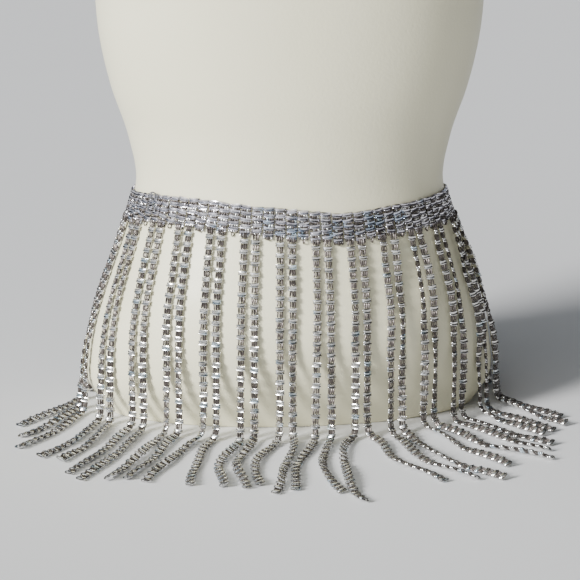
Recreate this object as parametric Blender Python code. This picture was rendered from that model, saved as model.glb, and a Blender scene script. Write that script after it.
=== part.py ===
"""A chain fringe belt worn on a limbless dress form.

The form stands on its flat base at z = 0 and faces -Y. The belt lies round the
waist: a band of chain mesh, whose lowest row carries the fringe. The strands come
in pairs with an empty column after each pair. They run down the hips, hang clear of
the form's lower edge and lie on the floor round it. The belt's two ends meet at the
front left, where two oval links join them.
"""

import math

import bmesh
import bpy
import numpy as np
from mathutils import Vector

NAME = "fringe_belt"

# Dress form, lengths in metres. The base is narrower in front than the hips above it.
FORM_SIDES = 44
FINE_STEP = 0.0125
COARSE_STEP = 0.024
FINE_TO = 0.250
SHOULDERS_FROM = 0.490
FORM_SECTIONS = (
    # height, half width, front depth, back depth, squareness
    (0.000, 0.1495, 0.0770, 0.1030, 2.00),
    (0.025, 0.1640, 0.0960, 0.1100, 2.00),
    (0.050, 0.1630, 0.1070, 0.1130, 2.00),
    (0.075, 0.1580, 0.1120, 0.1120, 2.00),
    (0.100, 0.1500, 0.1115, 0.1080, 2.00),
    (0.125, 0.1408, 0.1060, 0.1010, 2.00),
    (0.155, 0.1302, 0.0990, 0.0940, 2.00),
    (0.185, 0.1225, 0.0955, 0.0910, 2.00),
    (0.220, 0.1280, 0.0985, 0.0915, 2.00),
    (0.260, 0.1410, 0.1060, 0.0940, 2.05),
    (0.300, 0.1495, 0.1120, 0.0980, 2.10),
    (0.340, 0.1525, 0.1175, 0.1025, 2.15),
    (0.380, 0.1540, 0.1210, 0.1065, 2.20),
    (0.420, 0.1570, 0.1170, 0.1090, 2.25),
    (0.460, 0.1640, 0.1040, 0.1080, 2.30),
    (0.495, 0.1680, 0.0880, 0.1000, 2.35),
    (0.520, 0.1560, 0.0750, 0.0880, 2.30),
    (0.540, 0.1240, 0.0650, 0.0760, 2.20),
    (0.556, 0.0860, 0.0580, 0.0660, 2.10),
    (0.572, 0.0630, 0.0540, 0.0580, 2.00),
    (0.600, 0.0570, 0.0520, 0.0540, 2.00),
)

# Belt: its top edge dips in front and to the wearer's left.
BELT_LINE = (
    # turn round the form in degrees, height of the top edge
    (0, 0.1780),
    (60, 0.1790),
    (120, 0.1790),
    (181, 0.1790),
    (231, 0.1830),
    (262, 0.1780),
    (285, 0.1735),
    (300, 0.1755),
    (330, 0.1780),
    (360, 0.1780),
)
CLOSURE_TURN = 209
COLUMNS = 81
COLUMN_WIDTH = 0.0072
ROW_PITCH = 0.0045
BAND_ROWS = 4
BELT_CLEARANCE = 0.0006
WALL_THIN = 0.0014
WALL_THICK = 0.0023
EDGE_BEAD = 0.25
SEAM_GAP = 0.0003
STRIP_HEIGHT = 0.0042
STUB_DROP = 0.0026
STUB_SHARE = 0.6

# Fringe strands, flat in section. A pair takes two of every three columns.
PAIR_COLUMNS = 3
STRAND_THICK = 0.0022
STRAND_CLEARANCE = 0.0012
HANG_STEPS = 7
BEND_STEPS = 2
TAIL_STEPS = 7
BEND_RADIUS = 0.009
TWIST_BELOW = 0.034
FLOOR_GAP = 0.0005
TIP_TAPER = 0.75
TAIL_FINENESS = 12
TAILS = (
    # strand, drift along the girth, heading of its root in degrees, bend from root to
    # tip in degrees, wave in degrees, length on the floor
    (49, 0.000, -122, -2, 4, 0.089),
    (50, 0.000, -117, -6, 5, 0.091),
    (51, 0.000, -114, -8, 5, 0.104),
    (52, 0.000, -110, -12, 5, 0.104),
    (53, 0.000, -107, -10, 4, 0.108),
    (0, 0.000, -116, 6, 6, 0.117),
    (1, 0.000, -112, 0, 4, 0.131),
    (2, 0.000, -116, 8, 5, 0.120),
    (3, 0.000, -116, 10, 7, 0.114),
    (4, 0.000, -126, 26, 8, 0.112),
    (5, 0.000, -118, 34, 8, 0.116),
    (6, -0.001, -100, 0, -14, 0.120),
    (7, 0.000, -101, 8, -13, 0.116),
    (8, 0.000, -114, 26, -6, 0.112),
    (9, 0.000, -91, -22, -8, 0.126),
    (10, -0.002, -102, -2, -9, 0.124),
    (11, 0.001, -104, 22, -5, 0.128),
    (12, 0.000, -118, 50, 8, 0.158),
    (13, 0.000, -64, -16, -20, 0.121),
    (14, 0.000, -72, 4, -14, 0.126),
    (15, 0.000, -74, 16, -8, 0.136),
    (16, 0.000, -60, -14, -12, 0.108),
    (17, 0.000, -54, 2, -14, 0.120),
    (18, 0.000, -58, 2, -4, 0.098),
    (19, 0.000, -56, 2, -4, 0.094),
    (20, 0.000, -61, 0, -4, 0.079),
    (21, 0.000, -59, 0, -4, 0.077),
    (22, 0.000, -62, 0, -3, 0.079),
    (23, 0.000, -60, -2, -3, 0.073),
)
HIDDEN_HEADING = 86
HIDDEN_SPREAD = 0.08
HIDDEN_BEND = 7
HIDDEN_WAVE = 5
HIDDEN_DRIFT = 0.0012
HIDDEN_LENGTH = 0.110
HIDDEN_UNEVEN = 0.012

# Oval links that join the belt's ends, one at each of these rows
LINK_ROWS = (1.0, 3.0)
LINK_RADIUS = 0.0030
LINK_STRETCH = 1.5
LINK_WIRE = 0.0006


def smooth_row(table, at):
    """The table's columns at a value of its first column, on a smooth curve through its rows."""
    rows = np.array(table, dtype=float)
    keys = rows[:, 0]
    slopes = np.gradient(rows[:, 1:], keys, axis=0)
    index = int(np.clip(np.searchsorted(keys, at) - 1, 0, len(keys) - 2))
    span = keys[index + 1] - keys[index]
    share = np.clip((at - keys[index]) / span, 0.0, 1.0)
    start = rows[index, 1:]
    end = rows[index + 1, 1:]
    return (
        (2 * share**3 - 3 * share**2 + 1) * start
        + (share**3 - 2 * share**2 + share) * span * slopes[index]
        + (3 * share**2 - 2 * share**3) * end
        + (share**3 - share**2) * span * slopes[index + 1]
    )


def form_point(turn, height, out=0.0):
    """A point at a turn in radians round the form, moved out along the section's normal."""
    half_width, front, back, squareness = smooth_row(FORM_SECTIONS, height)
    across = math.cos(turn)
    along = math.sin(turn)
    depth = front if along < 0 else back
    power = 2 / squareness
    x = half_width * math.copysign(abs(across) ** power, across)
    y = depth * math.copysign(abs(along) ** power, along)
    normal = Vector((
        math.copysign(abs(across) ** (2 - power), across) / half_width,
        math.copysign(abs(along) ** (2 - power), along) / depth,
        0,
    ))
    return Vector((x, y, height)) + normal.normalized() * out


def belt_top(turn):
    """Height of the belt's top edge at a turn in radians."""
    return float(smooth_row(BELT_LINE, math.degrees(turn) % 360)[0])


def girth_turns():
    """Turns round the belt and the distance of each from the closure, along the girth."""
    turns = np.radians(CLOSURE_TURN + np.arange(0, 361))
    middle = BAND_ROWS * ROW_PITCH / 2
    points = [form_point(turn, belt_top(turn) - middle, WALL_THIN) for turn in turns]
    steps = [(b - a).length for a, b in zip(points, points[1:])]
    return turns, np.concatenate([[0], np.cumsum(steps)])


GIRTH_TURNS, GIRTH = girth_turns()
COLUMN_PITCH = GIRTH[-1] / COLUMNS


def turn_at(distance):
    """Turn in radians at a distance along the girth from the closure."""
    extra = 2 * math.pi * math.floor(distance / GIRTH[-1])
    return float(np.interp(distance % GIRTH[-1], GIRTH, GIRTH_TURNS)) + extra


def column_edges(column):
    """Turns at the two edges of a column."""
    middle = (column + 0.5) * COLUMN_PITCH
    half = COLUMN_WIDTH / 2
    return turn_at(middle - half), turn_at(middle + half)


def loft(mesh, sections):
    """Join outlines of equal length into a solid with a cap at each end."""
    rings = [[mesh.verts.new(point) for point in section] for section in sections]
    for ring, following in zip(rings, rings[1:]):
        for i in range(len(ring)):
            j = (i + 1) % len(ring)
            mesh.faces.new((ring[i], ring[j], following[j], following[i]))
    mesh.faces.new(reversed(rings[0]))
    mesh.faces.new(rings[-1])
    return rings


def finish(name, mesh, material, collection):
    """Turn a bmesh into a named, smooth-shaded object of the model."""
    bmesh.ops.recalc_face_normals(mesh, faces=mesh.faces)
    data = bpy.data.meshes.new(name)
    mesh.to_mesh(data)
    mesh.free()
    data.materials.append(material)
    data.shade_smooth()
    data.set_sharp_from_angle(angle=math.radians(35))
    made = bpy.data.objects.new(name, data)
    collection.objects.link(made)
    return made


def principled(name, colour, roughness, metallic):
    """A Principled material."""
    material = bpy.data.materials.new(name)
    material.use_nodes = True
    shader = material.node_tree.nodes["Principled BSDF"]
    shader.inputs["Base Color"].default_value = (*colour, 1)
    shader.inputs["Roughness"].default_value = roughness
    shader.inputs["Metallic"].default_value = metallic
    return material


def dress_form(material, collection):
    """The whole form, from its flat base to its flat neck cap."""
    heights = list(np.arange(0, FINE_TO, FINE_STEP))
    heights += list(np.arange(FINE_TO, SHOULDERS_FROM, COARSE_STEP))
    heights += [row[0] for row in FORM_SECTIONS if row[0] > SHOULDERS_FROM]
    turns = np.linspace(0, 2 * math.pi, FORM_SIDES, endpoint=False)
    mesh = bmesh.new()
    loft(mesh, [[form_point(turn, height) for turn in turns] for height in heights])
    finish("dress_form", mesh, material, collection)


def band_section(turn, bead):
    """The band's outline at one turn: plain inside, with its rows raised outside."""
    top = belt_top(turn)
    bottom = top - BAND_ROWS * ROW_PITCH
    outline = [
        form_point(turn, bottom, BELT_CLEARANCE),
        form_point(turn, top, BELT_CLEARANCE),
    ]
    for step in range(2 * BAND_ROWS + 1):
        height = top - step * ROW_PITCH / 2
        raised = bead if step % 2 else 0.0
        thick = WALL_THIN + raised * (WALL_THICK - WALL_THIN)
        outline.append(form_point(turn, height, BELT_CLEARANCE + thick))
    return outline


def chain_band(material, collection):
    """The chain mesh above the fringe's own row, a raised bead on each row of each column."""
    sections = []
    for column in range(COLUMNS):
        left, right = column_edges(column)
        sections.append(band_section(left, EDGE_BEAD))
        sections.append(band_section((left + right) / 2, 1.0))
    sections.append(band_section(right, EDGE_BEAD))
    mesh = bmesh.new()
    loft(mesh, sections)
    finish("chain_band", mesh, material, collection)


def tail_settings(strand):
    """Drift, heading, bend, wave and length of a strand's tail, from its row or, behind, by rule."""
    for row in TAILS:
        if row[0] == strand:
            return row[1:]
    turn = math.degrees(strand_turn(strand)) % 360
    heading = HIDDEN_HEADING + ((turn + 90) % 360 - 180) * HIDDEN_SPREAD
    pair, side = divmod(strand, 2)
    bend = HIDDEN_BEND * math.sin(1.3 * pair)
    wave = HIDDEN_WAVE * math.cos(0.9 * pair)
    length = HIDDEN_LENGTH + HIDDEN_UNEVEN * math.sin(2.9 * strand)
    drift = HIDDEN_DRIFT * (2 * side - 1)
    return drift, heading, bend, wave, length


def strand_turn(strand):
    """Turn at the root of a strand."""
    pair, side = divmod(strand, 2)
    return turn_at((PAIR_COLUMNS * pair + side + 0.5) * COLUMN_PITCH)


def slope_foot(turn, height, centre, out):
    """Where a strand coming down from a centre meets the form at a height, and its turn there."""
    nudge = 0.01
    for _ in range(3):
        foot = form_point(turn, height, out)
        side = form_point(turn + nudge, height, out) - form_point(turn - nudge, height, out)
        sideways = (foot - centre).dot(side.normalized())
        turn -= sideways / side.length * 2 * nudge
    return form_point(turn, height, out), turn


def hanging_frames(strand, steps):
    """Centres and aims from the strip down the steepest way over the form, then plumb."""
    drift, heading = tail_settings(strand)[:2]
    turn = strand_turn(strand)
    top = belt_top(turn) - BAND_ROWS * ROW_PITCH - SEAM_GAP - STRIP_HEIGHT
    low = FLOOR_GAP + STRAND_THICK / 2 + BEND_RADIUS
    out = STRAND_CLEARANCE + STRAND_THICK / 2
    centre = form_point(turn, top, out)
    frames = []
    for step in range(steps + 1):
        share = step / steps
        height = top + (low - top) * share
        foot, turn = slope_foot(turn, height, centre, out)
        outward = math.degrees(math.atan2(*(foot - form_point(turn, height)).yx))
        normal = Vector((math.cos(math.radians(outward)), math.sin(math.radians(outward)), 0))
        centre = centre + normal * max(0.0, (foot - centre).dot(normal))
        centre.z = height
        twist = (heading - outward + 180) % 360 - 180
        ease = float(np.clip((TWIST_BELOW - height) / (TWIST_BELOW - low), 0, 1))
        ease = ease * ease * (3 - 2 * ease)
        swing = abs(math.sin(math.radians(twist * ease))) * COLUMN_WIDTH / 2
        shift = Vector((-normal.y, normal.x, 0)) * drift * share**1.5
        aim = math.radians(outward + twist * ease)
        frames.append((centre + normal * swing + shift, aim))
    return frames


def strand_route(strand, hang_steps=HANG_STEPS, bend_steps=BEND_STEPS, tail_steps=TAIL_STEPS):
    """Frames along a strand from the strip to its tip: centre, width axis, thickness axis."""
    heading, bend, wave, length = tail_settings(strand)[1:]
    frames = hanging_frames(strand, hang_steps)
    corner, aim = frames[-1]
    ahead = Vector((math.cos(aim), math.sin(aim), 0))
    for step in range(1, bend_steps + 1):
        angle = math.pi / 2 * step / bend_steps
        forward = ahead * BEND_RADIUS * (1 - math.cos(angle))
        down = Vector((0, 0, -BEND_RADIUS * math.sin(angle)))
        frames.append((corner + forward + down, aim))
    centre = frames[-1][0]
    small_steps = tail_steps * TAIL_FINENESS
    for step in range(1, small_steps + 1):
        share = step / small_steps
        aim = math.radians(heading + bend * share + wave * math.sin(2 * math.pi * share))
        centre = centre + Vector((math.cos(aim), math.sin(aim), 0)) * length / small_steps
        if step % TAIL_FINENESS == 0:
            frames.append((centre, aim))
    return with_axes(frames)


def with_axes(frames):
    """Add each frame's width axis and thickness axis from the run of the centres."""
    centres = [centre for centre, _ in frames]
    placed = []
    for i, (centre, aim) in enumerate(frames):
        before = centres[max(i - 1, 0)]
        after = centres[min(i + 1, len(centres) - 1)]
        along = (after - before).normalized()
        width = Vector((-math.sin(aim), math.cos(aim), 0))
        thickness = along.cross(width).normalized()
        width = thickness.cross(along).normalized()
        placed.append((centre, width, thickness))
    return placed


def strip_section(turn):
    """The fringe strip's outline at one turn."""
    top = belt_top(turn) - BAND_ROWS * ROW_PITCH - SEAM_GAP
    inside = BELT_CLEARANCE
    outside = BELT_CLEARANCE + WALL_THICK
    return [
        form_point(turn, top - STRIP_HEIGHT, inside),
        form_point(turn, top, inside),
        form_point(turn, top, outside),
        form_point(turn, top - STRIP_HEIGHT, outside),
    ]


def extrude_to(mesh, face, corners):
    """Extrude a face and put its corners at the points given in the same order."""
    made = bmesh.ops.extrude_discrete_faces(mesh, faces=[face])["faces"][0]
    for vertex, corner in zip(made.verts, corners):
        vertex.co = corner
    return made


def grow_strand(mesh, root, strand):
    """Extrude a strand from its root face along its route."""
    route = strand_route(strand)
    centre, width, thickness = route[0]
    signs = []
    for vertex in root.verts:
        offset = vertex.co - centre
        signs.append((math.copysign(1, offset.dot(width)), math.copysign(1, offset.dot(thickness))))
    face = root
    for number, (centre, width, thickness) in enumerate(route[1:]):
        share = TIP_TAPER if number == len(route) - 2 else 1.0
        across = width * COLUMN_WIDTH / 2 * share
        through = thickness * STRAND_THICK / 2
        face = extrude_to(mesh, face, [centre + across * s + through * t for s, t in signs])


def grow_stub(mesh, root):
    """A short loop end under the strip in a column that has no strand."""
    centre = root.calc_center_median()
    down = Vector((0, 0, -STUB_DROP))
    corners = [centre + (vertex.co - centre) * STUB_SHARE + down for vertex in root.verts]
    extrude_to(mesh, root, corners)


def fringe(material, collection):
    """The belt's lowest row as a narrow strip, with every strand rooted in it."""
    turns = [turn for column in range(COLUMNS) for turn in column_edges(column)]
    mesh = bmesh.new()
    rings = loft(mesh, [strip_section(turn) for turn in turns])
    for column in range(COLUMNS):
        corners = {rings[2 * column + i][j] for i in (0, 1) for j in (0, 3)}
        root = next(face for face in rings[2 * column][0].link_faces if set(face.verts) == corners)
        pair, side = divmod(column, PAIR_COLUMNS)
        if side < 2:
            grow_strand(mesh, root, 2 * pair + side)
        else:
            grow_stub(mesh, root)
    finish("fringe", mesh, material, collection)


def closing_link(number, row, material, collection):
    """One oval link lying on the band across the closure."""
    turn = turn_at(0)
    height = belt_top(turn) - (row - 0.5) * ROW_PITCH
    out = BELT_CLEARANCE + WALL_THICK + SEAM_GAP + LINK_WIRE
    seat = form_point(turn, height, out)
    outward = (seat - form_point(turn, height)).normalized()
    bpy.ops.mesh.primitive_torus_add(
        major_radius=LINK_RADIUS, minor_radius=LINK_WIRE, major_segments=16, minor_segments=6
    )
    link = bpy.context.object
    link.name = f"closing_link_{number}"
    link.data.name = link.name
    for vertex in link.data.vertices:
        vertex.co.x *= LINK_STRETCH
    link.location = seat
    link.rotation_euler = outward.to_track_quat("Z", "Y").to_euler()
    link.data.materials.append(material)
    link.data.shade_smooth()
    for holder in link.users_collection:
        holder.objects.unlink(link)
    collection.objects.link(link)


def main():
    for old in list(bpy.data.objects):
        bpy.data.objects.remove(old)
    collection = bpy.data.collections.new(NAME)
    bpy.context.scene.collection.children.link(collection)
    cream = principled("cream_form", (0.74, 0.72, 0.62), 0.5, 0.0)
    silver = principled("silver_chain", (0.75, 0.76, 0.80), 0.2, 1.0)
    steel = principled("closing_steel", (0.66, 0.67, 0.70), 0.25, 1.0)
    dress_form(cream, collection)
    chain_band(silver, collection)
    fringe(silver, collection)
    for number, row in enumerate(LINK_ROWS, start=1):
        closing_link(number, row, steel, collection)


if __name__ == "__main__":
    main()
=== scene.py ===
"""A chain fringe belt on a cream dress form: its finishes, the floor, the light and the view."""

import math
import random

import bmesh
import bpy
import numpy as np
from mathutils import Matrix, Vector


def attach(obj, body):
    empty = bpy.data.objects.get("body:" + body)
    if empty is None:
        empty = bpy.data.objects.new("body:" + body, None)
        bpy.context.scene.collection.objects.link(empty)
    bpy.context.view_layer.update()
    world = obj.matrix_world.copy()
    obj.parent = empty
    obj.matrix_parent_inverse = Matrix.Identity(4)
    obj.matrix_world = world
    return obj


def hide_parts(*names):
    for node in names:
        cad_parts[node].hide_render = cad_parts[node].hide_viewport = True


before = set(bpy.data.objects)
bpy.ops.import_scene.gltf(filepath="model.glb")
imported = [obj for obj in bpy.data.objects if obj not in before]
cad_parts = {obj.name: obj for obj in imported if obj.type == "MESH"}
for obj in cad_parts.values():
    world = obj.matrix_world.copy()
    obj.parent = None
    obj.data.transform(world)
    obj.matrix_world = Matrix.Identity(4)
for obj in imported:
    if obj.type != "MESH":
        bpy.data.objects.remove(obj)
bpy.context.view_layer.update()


# The view
# From a little above the belt and a little to the left of the form's front, through a
# long lens, as in the photograph.
VIEW_DISTANCE = 1.609
VIEW_HEIGHT = 0.448
VIEW_TURN = math.radians(-5.8)
VIEW_DOWN = math.radians(12.45)
LENS_MM = 126.6
SENSOR_MM = 36

camera = bpy.data.objects.new("view", bpy.data.cameras.new("view"))
camera.data.lens = LENS_MM
camera.data.sensor_width = SENSOR_MM
camera.location = (
    VIEW_DISTANCE * math.sin(VIEW_TURN),
    -VIEW_DISTANCE * math.cos(VIEW_TURN),
    VIEW_HEIGHT,
)
camera.rotation_euler = (math.pi / 2 - VIEW_DOWN, 0, VIEW_TURN)
bpy.context.scene.collection.objects.link(camera)
bpy.context.scene.camera = camera


# The light
# A broad window and a stronger lamp from the front left, in a room that is cool and bright
# on that side and dim on the other, so that the form rounds off into shade on its right
# and the polished metal mirrors light and dark.
WINDOW_PLACE = (-0.90, -1.10, 0.45)
WINDOW_STRENGTH = 1.35
WINDOW_SPREAD = math.radians(76)
LAMP_PLACE = (-1.45, -1.10, 0.74)
LAMP_STRENGTH = 7.2
LAMP_SPREAD = math.radians(16)
BRIGHT_SIDE = (-0.85, -0.45, 0.28)
BRIGHT_FROM = 0.9
ROOM_DIM = (0.065, 0.062, 0.062)
ROOM_BRIGHT = (0.42, 0.48, 0.55)


class Wire:
    """An output of a node, on which sums are written as Python."""

    def __init__(self, tree, socket=None):
        self.tree = tree
        self.socket = socket

    def node(self, kind, settings=None, inputs=None, out=0):
        """A new node with its settings, and its inputs as values or wires."""
        made = self.tree.nodes.new(kind)
        for name, value in (settings or {}).items():
            setattr(made, name, value)
        for name, value in (inputs or {}).items():
            if isinstance(value, Wire):
                self.tree.links.new(value.socket, made.inputs[name])
            else:
                made.inputs[name].default_value = value
        return Wire(self.tree, made.outputs[out])

    def maths(self, operation, first, second):
        return self.node("ShaderNodeMath", {"operation": operation}, {0: first, 1: second})

    def __add__(self, other):
        return self.maths("ADD", self, other)

    def __mul__(self, other):
        return self.maths("MULTIPLY", self, other)

    __radd__ = __add__
    __rmul__ = __mul__

    def noise(self, scale, detail=3.0):
        """Cloudy values from 0 to 1 at a number of clouds to the metre."""
        inputs = {"Vector": self, "Scale": scale, "Detail": detail}
        return self.node("ShaderNodeTexNoise", {}, inputs)

    def eased(self, low, high):
        """This value as 0 below low and 1 above high, smooth between."""
        settings = {"interpolation_type": "SMOOTHSTEP"}
        return self.node("ShaderNodeMapRange", settings, {0: self, 1: low, 2: high})

    def blend(self, low, high):
        """A colour between two, by this value."""
        settings = {"data_type": "RGBA"}
        return self.node("ShaderNodeMix", settings, {0: self, 6: (*low, 1), 7: (*high, 1)}, out=2)

    def feeds(self, shader, socket):
        self.tree.links.new(self.socket, shader.inputs[socket])

    def bumps(self, shader, depth):
        """This value as a relief of a depth in metres."""
        inputs = {"Height": self, "Distance": depth}
        self.node("ShaderNodeBump", {}, inputs).feeds(shader, "Normal")


def soft_light(name, place, strength, spread):
    """A sun that shines from a place towards the origin, softened by its spread in the sky."""
    light = bpy.data.objects.new(name, bpy.data.lights.new(name, "SUN"))
    light.data.energy = strength
    light.data.angle = spread
    light.location = place
    light.rotation_euler = (-Vector(place)).to_track_quat("-Z", "Y").to_euler()
    bpy.context.scene.collection.objects.link(light)


soft_light("window", WINDOW_PLACE, WINDOW_STRENGTH, WINDOW_SPREAD)
soft_light("lamp", LAMP_PLACE, LAMP_STRENGTH, LAMP_SPREAD)

room = bpy.data.worlds.new("room")
room.use_nodes = True
around = Wire(room.node_tree).node("ShaderNodeTexCoord")
dot_product = {"operation": "DOT_PRODUCT"}
facing = around.node("ShaderNodeVectorMath", dot_product, {0: around, 1: BRIGHT_SIDE}, out=1)
glow = facing.eased(0.0, BRIGHT_FROM).blend(ROOM_DIM, ROOM_BRIGHT)
glow.feeds(room.node_tree.nodes["Background"], "Color")
bpy.context.scene.world = room


# The floor
# A plain pale matt surface that the form stands on and the strands' ends lie on, far
# wider than the view.
FLOOR_HALF = 9.0
FLOOR_CLOUDS = 3.0
FLOOR_GREY = (0.76, 0.76, 0.76)
FLOOR_PALE = (0.79, 0.79, 0.785)


def new_material(name, **sockets):
    """A Principled material's shader, and a wire that carries object coordinates."""
    material = bpy.data.materials.new(name)
    material.use_nodes = True
    shader = material.node_tree.nodes["Principled BSDF"]
    for socket, value in sockets.items():
        shader.inputs[socket.replace("_", " ")].default_value = value
    place = Wire(material.node_tree).node("ShaderNodeTexCoord", {}, {}, out=3)
    return material, shader, place


floor_paint, shader, place = new_material("floor_paint", Roughness=0.8)
half_clouds = place.noise(FLOOR_CLOUDS) * 0.5
half_clouds.blend(FLOOR_GREY, FLOOR_PALE).feeds(shader, "Base Color")
floor_mesh = bmesh.new()
bmesh.ops.create_grid(floor_mesh, x_segments=1, y_segments=1, size=FLOOR_HALF)
floor = bpy.data.objects.new("floor", bpy.data.meshes.new("floor"))
floor_mesh.to_mesh(floor.data)
floor_mesh.free()
floor.data.materials.append(floor_paint)
bpy.context.scene.collection.objects.link(floor)


# The dress form
# A smooth, limbless shell in satin cream, moulded in one piece, with a closed flat base,
# closed sloping shoulders and a flat cap on a short neck.
FORM_SECTIONS = (
    # height, half width, front depth, back depth, squareness
    (0.000, 0.1495, 0.0770, 0.1030, 2.00),
    (0.025, 0.1640, 0.0960, 0.1100, 2.00),
    (0.050, 0.1630, 0.1070, 0.1130, 2.00),
    (0.075, 0.1580, 0.1120, 0.1120, 2.00),
    (0.100, 0.1500, 0.1115, 0.1080, 2.00),
    (0.125, 0.1408, 0.1060, 0.1010, 2.00),
    (0.155, 0.1302, 0.0990, 0.0940, 2.00),
    (0.185, 0.1225, 0.0955, 0.0910, 2.00),
    (0.220, 0.1280, 0.0985, 0.0915, 2.00),
    (0.260, 0.1410, 0.1060, 0.0940, 2.05),
    (0.300, 0.1495, 0.1120, 0.0980, 2.10),
    (0.340, 0.1525, 0.1175, 0.1025, 2.15),
    (0.380, 0.1540, 0.1210, 0.1065, 2.20),
    (0.420, 0.1570, 0.1170, 0.1090, 2.25),
    (0.460, 0.1640, 0.1040, 0.1080, 2.30),
    (0.495, 0.1680, 0.0880, 0.1000, 2.35),
    (0.520, 0.1560, 0.0750, 0.0880, 2.30),
    (0.540, 0.1240, 0.0650, 0.0760, 2.20),
    (0.556, 0.0860, 0.0580, 0.0660, 2.10),
    (0.572, 0.0630, 0.0540, 0.0580, 2.00),
    (0.600, 0.0570, 0.0520, 0.0540, 2.00),
)
FORM_AROUND = 128
FORM_UP = 150
FORM_EDGE = 0.002
FORM_WELD = 0.00001
CREAM = (0.735, 0.70, 0.50)
PALE_CREAM = (0.775, 0.74, 0.54)
MOTTLE_CLOUDS = 9.0
GRAIN_CLOUDS = 420.0
GRAIN_DEPTH = 0.00025


def smooth_row(table, at):
    """The table's columns at a value of its first column, on a smooth curve through its rows."""
    rows = np.array(table, dtype=float)
    keys = rows[:, 0]
    slopes = np.gradient(rows[:, 1:], keys, axis=0)
    index = int(np.clip(np.searchsorted(keys, at) - 1, 0, len(keys) - 2))
    span = keys[index + 1] - keys[index]
    share = np.clip((at - keys[index]) / span, 0.0, 1.0)
    start = rows[index, 1:]
    end = rows[index + 1, 1:]
    return (
        (2 * share**3 - 3 * share**2 + 1) * start
        + (share**3 - 2 * share**2 + share) * span * slopes[index]
        + (3 * share**2 - 2 * share**3) * end
        + (share**3 - share**2) * span * slopes[index + 1]
    )


def form_point(turn, height, out=0.0):
    """A point at a turn in radians round the form, moved out along the section's normal."""
    half_width, front, back, squareness = smooth_row(FORM_SECTIONS, height)
    across = math.cos(turn)
    along = math.sin(turn)
    depth = front if along < 0 else back
    power = 2 / squareness
    x = half_width * math.copysign(abs(across) ** power, across)
    y = depth * math.copysign(abs(along) ** power, along)
    normal = Vector((
        math.copysign(abs(across) ** (2 - power), across) / half_width,
        math.copysign(abs(along) ** (2 - power), along) / depth,
        0,
    ))
    return Vector((x, y, height)) + normal.normalized() * out


def add_piece(name, shape, materials, smooth_below=40):
    """A bmesh as a finished, smooth-shaded piece that rides on the object."""
    data = bpy.data.meshes.new(name)
    shape.to_mesh(data)
    shape.free()
    for material in materials:
        data.materials.append(material)
    data.shade_smooth()
    data.set_sharp_from_angle(angle=math.radians(smooth_below))
    piece = bpy.data.objects.new(name, data)
    bpy.context.scene.collection.objects.link(piece)
    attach(piece, "root")
    return piece


cream_shell, shader, place = new_material("cream_shell", Coat_Weight=0.12, Coat_Roughness=0.25)
mottle = place.noise(MOTTLE_CLOUDS, 4.0)
grain = place.noise(GRAIN_CLOUDS, 2.0)
mottle.blend(CREAM, PALE_CREAM).feeds(shader, "Base Color")
(0.40 + 0.14 * mottle).feeds(shader, "Roughness")
(grain * 0.6 + mottle).bumps(shader, GRAIN_DEPTH)

form_shape = bmesh.new()
bmesh.ops.create_grid(form_shape, x_segments=FORM_AROUND, y_segments=FORM_UP, size=0.5)
for vertex in form_shape.verts:
    turn = (vertex.co.x + 0.5) * 2 * math.pi
    vertex.co = form_point(turn, (vertex.co.y + 0.5) * FORM_SECTIONS[-1][0])
bmesh.ops.remove_doubles(form_shape, verts=form_shape.verts, dist=FORM_WELD)
caps = bmesh.ops.holes_fill(form_shape, edges=form_shape.edges, sides=0)["faces"]
rims = list({edge for cap in caps for edge in cap.edges})
bmesh.ops.bevel(
    form_shape, geom=rims, offset=FORM_EDGE, segments=3, profile=0.5, affect="EDGES", material=-1
)
bmesh.ops.recalc_face_normals(form_shape, faces=form_shape.faces)
form = add_piece("form_shell", form_shape, [cream_shell])
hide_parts("dress_form")


# The chain's links
# Bright collars, each a flat oval band with two round ribs and a groove between, which
# dips a little in the middle. Upright rings, side by side, join them; their wire's dark
# colour is painted shade, the shade inside the joints.
COLLAR_STEPS = 10
COLLAR_HALF = 0.0037
COLLAR_DEPTH = 0.0013
COLLAR_TALL = 0.0034
COLLAR_RIB = 0.00045
COLLAR_WALL = 0.0003
COLLAR_DIP = 0.0006
COLLAR_FULLNESS = 3
RING_STEPS = 7
RING_RADIUS = 0.0016
RING_WIRE = 0.00055
SCRATCH_DEPTH = 0.00006
# painted reflection: a cool blue tint that stands for cool light glinting off the metal
PAINTED_COOL_GLINT = (0.76, 0.89, 1.0, 1)
# painted shade: the ring wire's colours, from deep to less deep, standing for the shade inside
# the joints
WIRE_SHADE_DEEP = (0.045, 0.039, 0.035)
WIRE_SHADE_PALE = (0.20, 0.172, 0.158)
LUCK_SEED = 11
# a rib's crest and foot, as shares of the collar's half height
RIB_CREST = 0.70
RIB_FOOT = 0.30
# how far the foot and the groove lie below the crest, against the rib's own depth
FOOT_SUNK = 0.3
GROOVE_SUNK = 1.2
# places of the three finishes in LINK_FINISHES
BRIGHT_FINISH = 0
WIRE_FINISH = 1
BAND_SHADE_FINISH = 2
# sizes of the patterns on the metal, in clouds to the metre
TONE_CLOUDS = 150.0
GLINT_CLOUDS = 60.0
WEAR_CLOUDS = 240.0
SCRATCH_CLOUDS = 900.0
WIRE_CLOUDS = 210.0


def turned_link(name, profile, steps, finish):
    """A closed outline in the XZ plane turned round Z, as a small mesh to copy."""
    link = bmesh.new()
    corners = [link.verts.new((x, 0, z)) for x, z in profile]
    for start, end in zip(corners, corners[1:] + corners[:1]):
        link.edges.new((start, end))
    bmesh.ops.spin(
        link, geom=link.verts[:] + link.edges[:], cent=(0, 0, 0), axis=(0, 0, 1),
        angle=2 * math.pi, steps=steps, use_merge=True,
    )
    bmesh.ops.recalc_face_normals(link, faces=link.faces)
    for face in link.faces:
        face.material_index = finish
    data = bpy.data.meshes.new(name)
    link.to_mesh(data)
    link.free()
    return data


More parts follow.
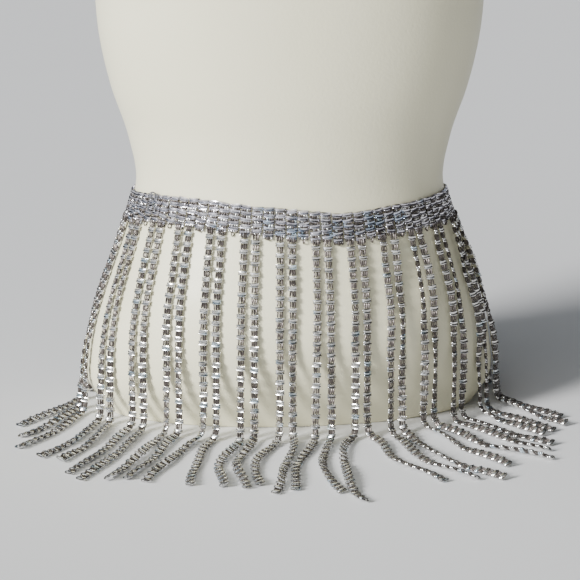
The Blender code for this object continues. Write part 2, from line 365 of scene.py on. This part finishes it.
def press_flat(data):
    """Draw a round band out to a flat oval with fuller ends, its face dipping in the middle."""
    for vertex in data.vertices:
        turn = math.atan2(vertex.co.y, vertex.co.x)
        across = math.cos(turn)
        out = math.sin(turn)
        inward = COLLAR_HALF - math.hypot(vertex.co.x, vertex.co.y)
        powers = abs(across) ** COLLAR_FULLNESS + abs(out) ** COLLAR_FULLNESS
        fuller = powers ** (-1 / COLLAR_FULLNESS)
        facing = math.atan2(out * abs(out) / COLLAR_DEPTH, across * abs(across) / COLLAR_HALF)
        vertex.co.x = COLLAR_HALF * fuller * across - inward * math.cos(facing)
        vertex.co.y = COLLAR_DEPTH * fuller * out - inward * math.sin(facing)
        vertex.co.z += COLLAR_DIP * (1 - (vertex.co.x / COLLAR_HALF) ** 2) * max(0.0, out)


half_tall = COLLAR_TALL / 2
collar_profile = (
    (COLLAR_HALF - COLLAR_RIB, -half_tall),
    (COLLAR_HALF, -RIB_CREST * half_tall),
    (COLLAR_HALF - FOOT_SUNK * COLLAR_RIB, -RIB_FOOT * half_tall),
    (COLLAR_HALF - GROOVE_SUNK * COLLAR_RIB, 0),
    (COLLAR_HALF - FOOT_SUNK * COLLAR_RIB, RIB_FOOT * half_tall),
    (COLLAR_HALF, RIB_CREST * half_tall),
    (COLLAR_HALF - COLLAR_RIB, half_tall),
    (COLLAR_HALF - GROOVE_SUNK * COLLAR_RIB - COLLAR_WALL, 0),
)
ring_profile = (
    (RING_RADIUS + RING_WIRE, 0),
    (RING_RADIUS, RING_WIRE),
    (RING_RADIUS - RING_WIRE, 0),
    (RING_RADIUS, -RING_WIRE),
)


def collar_mesh(name, finish):
    """A flat oval collar in one of the link finishes."""
    data = turned_link(name, collar_profile, COLLAR_STEPS, finish)
    press_flat(data)
    return data


def ring_mesh(name, finish):
    """An upright wire ring, edge-on to a viewer in front, in one of the link finishes."""
    data = turned_link(name, ring_profile, RING_STEPS, finish)
    data.transform(Matrix.Rotation(math.pi / 2, 4, "Y"))
    return data


collar = collar_mesh("collar", BRIGHT_FINISH)
ring = ring_mesh("ring", WIRE_FINISH)
band_collar = collar_mesh("band_collar", BAND_SHADE_FINISH)
bright_ring = ring_mesh("bright_ring", BRIGHT_FINISH)


def polished(name, dull, bright, smoothest, roughest):
    """A silver finish that varies from link to link in tone, with patches of painted cool
    reflection, a blue tint mixed into its colour.
    """
    finish, shader, place = new_material(name, Metallic=1.0)
    tone = place.noise(TONE_CLOUDS, 1.0).eased(0.25, 0.75).blend(dull, bright)
    # painted reflection: patches where the colour is tinted cool blue, as glints of cool light
    cool_glint = place.noise(GLINT_CLOUDS, 1.0).eased(0.57, 0.69)
    inputs = {0: cool_glint, 6: tone, 7: PAINTED_COOL_GLINT}
    settings = {"data_type": "RGBA", "blend_type": "MULTIPLY"}
    cool_glint.node("ShaderNodeMix", settings, inputs, out=2).feeds(shader, "Base Color")
    worn = place.noise(WEAR_CLOUDS, 2.0).eased(0.30, 0.62)
    (smoothest + (roughest - smoothest) * worn).feeds(shader, "Roughness")
    place.noise(SCRATCH_CLOUDS, 2.0).bumps(shader, SCRATCH_DEPTH)
    return finish


bright_strip = polished(
    "bright_strip", dull=(0.56, 0.555, 0.54), bright=(0.91, 0.90, 0.875),
    smoothest=0.10, roughest=0.26,
)
# painted shade: the band's collars get a copy of the strip whose dull end is darker and
# lilac-grey, standing for the shade in the dense band
band_shade_strip = polished(
    "band_shade_strip", dull=(0.38, 0.37, 0.41), bright=(0.88, 0.86, 0.92),
    smoothest=0.08, roughest=0.24,
)

# painted shade: the joining rings' wire is darkened to stand for the shade inside the joints,
# varying at random in tone
painted_shade_wire, shader, place = new_material("painted_shade_wire", Metallic=0.7)
place.noise(WIRE_CLOUDS, 1.0).blend(WIRE_SHADE_DEEP, WIRE_SHADE_PALE).feeds(shader, "Base Color")
(0.32 + 0.2 * place.noise(500.0, 2.0)).feeds(shader, "Roughness")
LINK_FINISHES = (bright_strip, painted_shade_wire, band_shade_strip)

luck = random.Random(LUCK_SEED)


def tilt(most_degrees, axis, mean=0.0):
    """A small seeded turn about a local axis, about a mean in degrees."""
    degrees = mean + luck.uniform(-most_degrees, most_degrees)
    return Matrix.Rotation(math.radians(degrees), 4, axis)


def askew(most_x, most_y, most_z, mean_x):
    """Small seeded turns about all three local axes, in degrees, the first about a mean."""
    return tilt(most_x, "X", mean_x) @ tilt(most_y, "Y") @ tilt(most_z, "Z")


def axes_at(centre, width, thickness, along):
    """The matrix that puts a link at a centre, across, out from and down its strand."""
    turned = Matrix((width, thickness, along)).transposed().to_4x4()
    turned.translation = centre
    return turned


def join_links(name, placed):
    """Copies of the link meshes, each at its matrix, joined into one piece."""
    joined = bmesh.new()
    for link, matrix in placed:
        copy = link.copy()
        copy.transform(matrix)
        joined.from_mesh(copy)
        bpy.data.meshes.remove(copy)
    return add_piece(name, joined, LINK_FINISHES, smooth_below=50)


# The band
# Chain mesh round the waist: rows of collars packed close, which lie uneven from column
# to column, more so in the lower rows, with rings showing between them, some bright and
# some darkened with painted shade.
BELT_LINE = (
    # turn round the form in degrees, height of the top edge
    (0, 0.1780),
    (60, 0.1790),
    (120, 0.1790),
    (181, 0.1790),
    (231, 0.1830),
    (262, 0.1780),
    (285, 0.1735),
    (300, 0.1755),
    (330, 0.1780),
    (360, 0.1780),
)
CLOSURE_TURN = 209
COLUMNS = 81
ROW_PITCH = 0.0045
BAND_ROWS = 4
BAND_OUT = 0.0018
SEAM_GAP = 0.0003
COLUMN_SHIFT = 0.0011
WALL_THIN = 0.0014
AIM_STEP = 0.004
BAND_NUDGE = 0.0003
BRIGHT_SHARE = 0.35
# how far a band link may lie askew about each axis, and a collar's mean lean, in degrees
BAND_SKEW = (9, 7, 10)
BAND_LEAN = -5
BAND_RING_SKEW = 22
# a band link's width, depth and height against the plain link's
BAND_COLLAR_SIZE = (1.21, 0.9, 0.88, 1)
BAND_RING_SIZE = (1.2, 0.6, 0.66, 1)
# the places of a column's rings across its width
BAND_RING_PLACES = (0.18, 0.39, 0.61, 0.82)


def belt_top(turn):
    """Height of the belt's top edge at a turn in radians."""
    return float(smooth_row(BELT_LINE, math.degrees(turn) % 360)[0])


def girth_turns():
    """Turns round the belt and the distance of each from the closure, along the girth."""
    turns = np.radians(CLOSURE_TURN + np.arange(0, 361))
    middle = BAND_ROWS * ROW_PITCH / 2
    points = [form_point(turn, belt_top(turn) - middle, WALL_THIN) for turn in turns]
    steps = [(b - a).length for a, b in zip(points, points[1:])]
    return turns, np.concatenate([[0], np.cumsum(steps)])


GIRTH_TURNS, GIRTH = girth_turns()
COLUMN_PITCH = GIRTH[-1] / COLUMNS


def turn_at(distance):
    """Turn in radians at a distance along the girth from the closure."""
    extra = 2 * math.pi * math.floor(distance / GIRTH[-1])
    return float(np.interp(distance % GIRTH[-1], GIRTH, GIRTH_TURNS)) + extra


def seat(distance, drop, out=BAND_OUT):
    """Axes of a link on the belt, at a distance along the girth and a drop from its top edge."""
    turn = turn_at(distance)
    height = belt_top(turn) - drop
    centre = form_point(turn, height, out)
    thickness = (centre - form_point(turn, height)).normalized()
    down = (form_point(turn, height - AIM_STEP, out) - centre).normalized()
    width = thickness.cross(down).normalized()
    return axes_at(centre, down.cross(thickness), down.cross(width), down)


def column_drop(column, row):
    """A link's drop from the top edge; the lower the row, the more the columns lie uneven."""
    shift = COLUMN_SHIFT * min(1.0, row / BAND_ROWS) ** 2 * (1 if column % 2 else -1)
    return row * ROW_PITCH + shift


def row_collars(row):
    """The collars of one row, each a little askew."""
    placed = []
    wide = Matrix.Diagonal(BAND_COLLAR_SIZE)
    for column in range(COLUMNS):
        at = seat((column + 0.5) * COLUMN_PITCH, column_drop(column, row + 0.5))
        turned = askew(*BAND_SKEW, BAND_LEAN)
        aside = luck.uniform(-1, 1) * BAND_NUDGE
        below = luck.uniform(-1, 1) * BAND_NUDGE
        nudge = Matrix.Translation((aside, 0, below))
        placed.append((band_collar, at @ nudge @ turned @ wide))
    return placed


def row_rings(row):
    """The rings that join one row's collars to the row below, some bright and some darkened with
    painted shade.
    """
    placed = []
    short = Matrix.Diagonal(BAND_RING_SIZE)
    for column in range(COLUMNS):
        drop = column_drop(column, row + 1)
        for side in BAND_RING_PLACES:
            at = seat((column + side) * COLUMN_PITCH, drop)
            joiner = bright_ring if luck.random() < BRIGHT_SHARE else ring
            placed.append((joiner, at @ tilt(BAND_RING_SKEW, "Z") @ short))
    return placed


rows = range(BAND_ROWS)
# the band's collars wear the band finish, whose darker tones are painted shade
band = join_links("band_collars", [link for row in rows for link in row_collars(row)])
band_rings = join_links("band_rings", [link for row in rows for link in row_rings(row)])
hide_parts("chain_band")
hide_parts("chain_band")


# The fringe
# The mesh's lowest row and the strands that hang from it in pairs. A strand runs down the
# form the steepest way, drops plumb past its lower edge and lies in a curve on the floor.
PAIR_COLUMNS = 3
STRIP_HEIGHT = 0.0042
STRAND_THICK = 0.0022
STRAND_CLEARANCE = 0.0012
BEND_RADIUS = 0.009
TWIST_BELOW = 0.034
FLOOR_GAP = 0.0005
COLUMN_WIDTH = 0.0072
LINK_PITCH = 0.0081
FIRST_COLLAR = 0.62
RING_SPACING = 0.0017
STRAND_RING_SIZE = (1.1, 0.6, 1.25, 1)
SLOPE_SPAN = 0.002
FREE_RING_DROP = 0.0012
FOOT_TRIES = 3
SPARKLE_SHARE = 0.06
SWAY_WAVE = 45
# how far a strand's links may lie askew, in degrees
STRAND_SKEW = (6, 4, 7)
RING_SKEW = 18
RING_LEAN = 8
FREE_RING_SKEW = 25
# the mean tilt of a collar in degrees, and that of the few that catch the light
COLLAR_TILT = -9
SPARKLE_TILT = -24
# least and most twist of a strand about its own line, in degrees
CALM = (6, 16)
TWISTED = (18, 62)
TWISTED_STRANDS = range(15, 28)
# a calm strand twists more where it hangs free of the form and lies on the floor
FREE_BELOW = 0.06
FREE_TWIST = 2.2
TAILS = (
    # strand, drift along the girth, heading of its root in degrees, bend from root to
    # tip in degrees, wave in degrees, length on the floor
    (49, 0.000, -122, -2, 4, 0.089),
    (50, 0.000, -117, -6, 5, 0.091),
    (51, 0.000, -114, -8, 5, 0.104),
    (52, 0.000, -110, -12, 5, 0.104),
    (53, 0.000, -107, -10, 4, 0.108),
    (0, 0.000, -116, 6, 6, 0.117),
    (1, 0.000, -112, 0, 4, 0.131),
    (2, 0.000, -116, 8, 5, 0.120),
    (3, 0.000, -116, 10, 7, 0.114),
    (4, 0.000, -126, 26, 8, 0.112),
    (5, 0.000, -118, 34, 8, 0.116),
    (6, -0.001, -100, 0, -14, 0.120),
    (7, 0.000, -101, 8, -13, 0.116),
    (8, 0.000, -114, 26, -6, 0.112),
    (9, 0.000, -91, -22, -8, 0.126),
    (10, -0.002, -102, -2, -9, 0.124),
    (11, 0.001, -104, 22, -5, 0.128),
    (12, 0.000, -118, 50, 8, 0.158),
    (13, 0.000, -64, -16, -20, 0.121),
    (14, 0.000, -72, 4, -14, 0.126),
    (15, 0.000, -74, 16, -8, 0.136),
    (16, 0.000, -60, -14, -12, 0.108),
    (17, 0.000, -54, 2, -14, 0.120),
    (18, 0.000, -58, 2, -4, 0.098),
    (19, 0.000, -56, 2, -4, 0.094),
    (20, 0.000, -61, 0, -4, 0.079),
    (21, 0.000, -59, 0, -4, 0.077),
    (22, 0.000, -62, 0, -3, 0.079),
    (23, 0.000, -60, -2, -3, 0.073),
)
HIDDEN_HEADING = 86
HIDDEN_SPREAD = 0.08
HIDDEN_BEND = 7
HIDDEN_WAVE = 5
HIDDEN_DRIFT = 0.0012
HIDDEN_LENGTH = 0.110
HIDDEN_UNEVEN = 0.012
# radians from one hidden tail to the next, which keep them from looking alike
BEND_RHYTHM = 1.3
WAVE_RHYTHM = 0.9
LENGTH_RHYTHM = 2.9


def strand_turn(strand):
    """Turn at the root of a strand."""
    pair, side = divmod(strand, 2)
    return turn_at((PAIR_COLUMNS * pair + side + 0.5) * COLUMN_PITCH)


def tail_settings(strand):
    """A tail's drift, heading, bend, wave and length, from its row or, behind, by rule."""
    for row in TAILS:
        if row[0] == strand:
            return row[1:]
    turn = math.degrees(strand_turn(strand)) % 360
    heading = HIDDEN_HEADING + ((turn + 90) % 360 - 180) * HIDDEN_SPREAD
    pair, side = divmod(strand, 2)
    bend = HIDDEN_BEND * math.sin(BEND_RHYTHM * pair)
    wave = HIDDEN_WAVE * math.cos(WAVE_RHYTHM * pair)
    length = HIDDEN_LENGTH + HIDDEN_UNEVEN * math.sin(LENGTH_RHYTHM * strand)
    drift = HIDDEN_DRIFT * (2 * side - 1)
    return drift, heading, bend, wave, length


def slope_foot(turn, height, centre, out):
    """Where a strand coming down from a centre meets the form at a height, and its turn there."""
    nudge = 0.01
    for _ in range(FOOT_TRIES):
        foot = form_point(turn, height, out)
        side = form_point(turn + nudge, height, out) - form_point(turn - nudge, height, out)
        sideways = (foot - centre).dot(side.normalized())
        turn -= sideways / side.length * 2 * nudge
    return form_point(turn, height, out), turn


def hanging_frames(strand, steps):
    """Centres and aims from the strip down the steepest way over the form, then plumb."""
    drift, heading = tail_settings(strand)[:2]
    turn = strand_turn(strand)
    top = belt_top(turn) - BAND_ROWS * ROW_PITCH - SEAM_GAP - STRIP_HEIGHT
    low = FLOOR_GAP + STRAND_THICK / 2 + BEND_RADIUS
    out = STRAND_CLEARANCE + STRAND_THICK / 2
    centre = form_point(turn, top, out)
    frames = []
    for step in range(steps + 1):
        share = step / steps
        height = top + (low - top) * share
        foot, turn = slope_foot(turn, height, centre, out)
        outward = math.degrees(math.atan2(*(foot - form_point(turn, height)).yx))
        normal = Vector((math.cos(math.radians(outward)), math.sin(math.radians(outward)), 0))
        centre = centre + normal * max(0.0, (foot - centre).dot(normal))
        centre.z = height
        twist = (heading - outward + 180) % 360 - 180
        ease = float(np.clip((TWIST_BELOW - height) / (TWIST_BELOW - low), 0, 1))
        ease = ease * ease * (3 - 2 * ease)
        swing = abs(math.sin(math.radians(twist * ease))) * COLUMN_WIDTH / 2
        shift = Vector((-normal.y, normal.x, 0)) * drift * share**1.5
        aim = math.radians(outward + twist * ease)
        frames.append((centre + normal * swing + shift, aim))
    return frames


def strand_route(strand, hang_steps=40, bend_steps=6, tail_steps=60):
    """Frames along a strand from the strip to its tip: centre and the turn that it faces."""
    heading, bend, wave, length = tail_settings(strand)[1:]
    frames = hanging_frames(strand, hang_steps)
    corner, aim = frames[-1]
    ahead = Vector((math.cos(aim), math.sin(aim), 0))
    for step in range(1, bend_steps + 1):
        angle = math.pi / 2 * step / bend_steps
        forward = ahead * BEND_RADIUS * (1 - math.cos(angle))
        down = Vector((0, 0, -BEND_RADIUS * math.sin(angle)))
        frames.append((corner + forward + down, aim))
    centre = frames[-1][0]
    for step in range(1, tail_steps + 1):
        share = step / tail_steps
        aim = math.radians(heading + bend * share + wave * math.sin(2 * math.pi * share))
        centre = centre + Vector((math.cos(aim), math.sin(aim), 0)) * length / tail_steps
        frames.append((centre, aim))
    return frames


def strand_links(strand):
    """The collars and rings of one strand, a link pitch apart along its route."""
    frames = strand_route(strand)
    centres = np.array([centre for centre, _ in frames])
    aims = np.unwrap([aim for _, aim in frames])
    run = np.concatenate([[0], np.cumsum(np.linalg.norm(np.diff(centres, axis=0), axis=1))])
    lively = luck.uniform(*(TWISTED if strand in TWISTED_STRANDS else CALM))
    phase = luck.uniform(0, 2 * math.pi)

    def point(distance):
        return Vector([np.interp(distance, run, centres[:, k]) for k in range(3)])

    def axes(distance):
        at = point(distance)
        ahead = point(distance + SLOPE_SPAN)
        behind = point(distance - SLOPE_SPAN)
        aim = float(np.interp(distance, run, aims))
        along = (ahead - behind).normalized()
        width = Vector((-math.sin(aim), math.cos(aim), 0))
        thickness = along.cross(width).normalized()
        loose = at.z < FREE_BELOW and strand not in TWISTED_STRANDS
        free = FREE_TWIST if loose else 1.0
        sway = math.radians(lively * free * math.sin(phase + distance * SWAY_WAVE))
        at += thickness * abs(math.sin(sway)) * COLLAR_HALF
        width = thickness.cross(along).normalized()
        return axes_at(at, width, thickness, along) @ Matrix.Rotation(sway, 4, "Z")

    placed = []
    long = Matrix.Diagonal(STRAND_RING_SIZE)
    count = int(run[-1] / LINK_PITCH)
    for number in range(count):
        middle = (number + FIRST_COLLAR) * LINK_PITCH
        raised = SPARKLE_TILT if luck.random() < SPARKLE_SHARE else COLLAR_TILT
        turned = askew(*STRAND_SKEW, raised)
        placed.append((collar, axes(middle) @ turned))
        joint = axes(middle - LINK_PITCH / 2)
        for side in (-1, 0, 1):
            aside = Matrix.Translation((side * RING_SPACING, 0, 0))
            turned = tilt(RING_SKEW, "Z") @ tilt(RING_LEAN, "Y")
            placed.append((ring, joint @ aside @ turned @ long))
    return placed


lowest_row = row_collars(BAND_ROWS) + row_rings(BAND_ROWS)
drop = (BAND_ROWS + 1) * ROW_PITCH + FREE_RING_DROP
for column in range(PAIR_COLUMNS - 1, COLUMNS, PAIR_COLUMNS):
    at = seat((column + 0.5) * COLUMN_PITCH, drop)
    lowest_row.append((ring, at @ tilt(FREE_RING_SKEW, "Z")))
fringe_row = join_links("fringe_row", lowest_row)
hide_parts("fringe")

BUNDLES = (
    # name of the piece, its first strand, the strand after its last
    ("strands_front_left", 0, 13),
    ("strands_front_right", 13, 26),
    ("strands_back_right", 26, 40),
    ("strands_back_left", 40, 54),
)
for name, first, after in BUNDLES:
    links = [link for strand in range(first, after) for link in strand_links(strand)]
    join_links(name, links)
    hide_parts("fringe")


# The closing links
# Two oval links of plain steel wire that hold the belt's ends together. They keep the
# meshes of their CAD solids.
CLOSING_CLOUDS = 300.0
CLOSING_DARK = (0.22, 0.22, 0.23)
CLOSING_PALE = (0.45, 0.45, 0.47)

closing_wire, shader, place = new_material("closing_wire", Metallic=1.0)
steel = place.noise(CLOSING_CLOUDS, 2.0).blend(CLOSING_DARK, CLOSING_PALE)
steel.feeds(shader, "Base Color")
(0.16 + 0.15 * place.noise(600.0, 2.0)).feeds(shader, "Roughness")
for node in ("closing_link_1", "closing_link_2"):
    closing_link = bpy.data.objects[node]
    closing_link.data.materials.clear()
    closing_link.data.materials.append(closing_wire)
